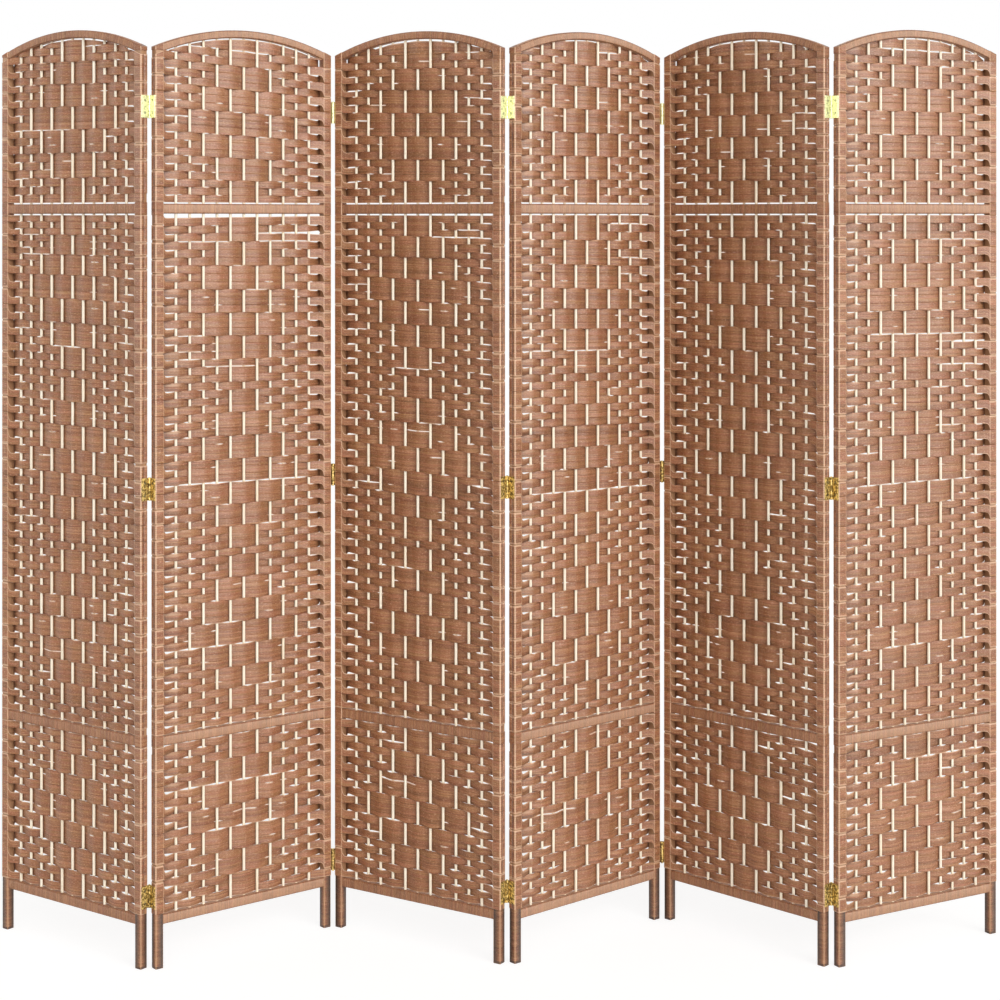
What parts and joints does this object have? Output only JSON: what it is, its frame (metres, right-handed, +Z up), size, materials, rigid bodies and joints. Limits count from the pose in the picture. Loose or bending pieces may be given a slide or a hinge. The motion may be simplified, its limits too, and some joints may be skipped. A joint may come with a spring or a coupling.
{
  "type": "paper rope folding screen",
  "caption": "Free-standing folding screen: arched wood panels woven with brown paper rope over pale rods in a diamond pattern, joined by brass butt hinges.",
  "frame": {"origin": "centre of the footprint on the floor, at the pictured fold", "axes": "+X along the line of the screen to the viewer's right, +Y to the back, +Z up"},
  "size_m": [1.9992, 0.3092, 1.8],
  "materials": {
    "pale_wood": "bare, sanded",
    "paper_rope": "brown twisted paper rope, dull with a slight sheen",
    "hinge_brass": "brass plate, slightly tarnished",
    "brass_screw": "brass, countersunk, cross recess"
  },
  "bodies": {
    "panel_1": {"panel_1_left_post": "pale_wood", "panel_1_right_post": "pale_wood", "panel_1_top_arch": "pale_wood", "panel_1_rails": "pale_wood", "panel_1_rods": "pale_wood", "panel_1_weave": "paper_rope", "panel_1_hinge_screws": "brass_screw", "hinge_12_left_leaves": "hinge_brass", "hinge_12_pins": "hinge_brass"},
    "panel_2": {"panel_2_left_post": "pale_wood", "panel_2_right_post": "pale_wood", "panel_2_top_arch": "pale_wood", "panel_2_rails": "pale_wood", "panel_2_rods": "pale_wood", "panel_2_weave": "paper_rope", "panel_2_hinge_screws": "brass_screw", "hinge_12_right_leaves": "hinge_brass", "hinge_23_left_leaves": "hinge_brass", "hinge_23_pins": "hinge_brass"},
    "panel_3": {"panel_3_left_post": "pale_wood", "panel_3_right_post": "pale_wood", "panel_3_top_arch": "pale_wood", "panel_3_rails": "pale_wood", "panel_3_rods": "pale_wood", "panel_3_weave": "paper_rope", "panel_3_hinge_screws": "brass_screw", "hinge_23_right_leaves": "hinge_brass", "hinge_34_left_leaves": "hinge_brass", "hinge_34_pins": "hinge_brass"},
    "panel_4": {"panel_4_left_post": "pale_wood", "panel_4_right_post": "pale_wood", "panel_4_top_arch": "pale_wood", "panel_4_rails": "pale_wood", "panel_4_rods": "pale_wood", "panel_4_weave": "paper_rope", "panel_4_hinge_screws": "brass_screw", "hinge_34_right_leaves": "hinge_brass", "hinge_45_left_leaves": "hinge_brass", "hinge_45_pins": "hinge_brass"},
    "panel_5": {"panel_5_left_post": "pale_wood", "panel_5_right_post": "pale_wood", "panel_5_top_arch": "pale_wood", "panel_5_rails": "pale_wood", "panel_5_rods": "pale_wood", "panel_5_weave": "paper_rope", "panel_5_hinge_screws": "brass_screw", "hinge_45_right_leaves": "hinge_brass", "hinge_56_left_leaves": "hinge_brass", "hinge_56_pins": "hinge_brass"},
    "panel_6": {"panel_6_left_post": "pale_wood", "panel_6_right_post": "pale_wood", "panel_6_top_arch": "pale_wood", "panel_6_rails": "pale_wood", "panel_6_rods": "pale_wood", "panel_6_weave": "paper_rope", "panel_6_hinge_screws": "brass_screw", "hinge_56_right_leaves": "hinge_brass"}
  },
  "joints": [
    {"name": "fold_12", "type": "hinge", "parent": "panel_2", "child": "panel_1", "pos_m": [-0.66507, -0.13895, 0.914], "axis": [0, 0, 1], "range_deg": [-105.5, 74.5]},
    {"name": "fold_23", "type": "hinge", "parent": "panel_3", "child": "panel_2", "pos_m": [-0.33269, 0.09054, 0.914], "axis": [0, 0, -1], "range_deg": [-109, 71]},
    {"name": "fold_34", "type": "hinge", "parent": "panel_3", "child": "panel_4", "pos_m": [0.01843, -0.1091, 0.914], "axis": [0, 0, -1], "range_deg": [-105.5, 74.5]},
    {"name": "fold_45", "type": "hinge", "parent": "panel_4", "child": "panel_5", "pos_m": [0.33618, 0.14024, 0.914], "axis": [0, 0, 1], "range_deg": [-94, 86]},
    {"name": "fold_56", "type": "hinge", "parent": "panel_5", "child": "panel_6", "pos_m": [0.64044, -0.12539, 0.914], "axis": [0, 0, -1], "range_deg": [-106, 74]}
  ]
}
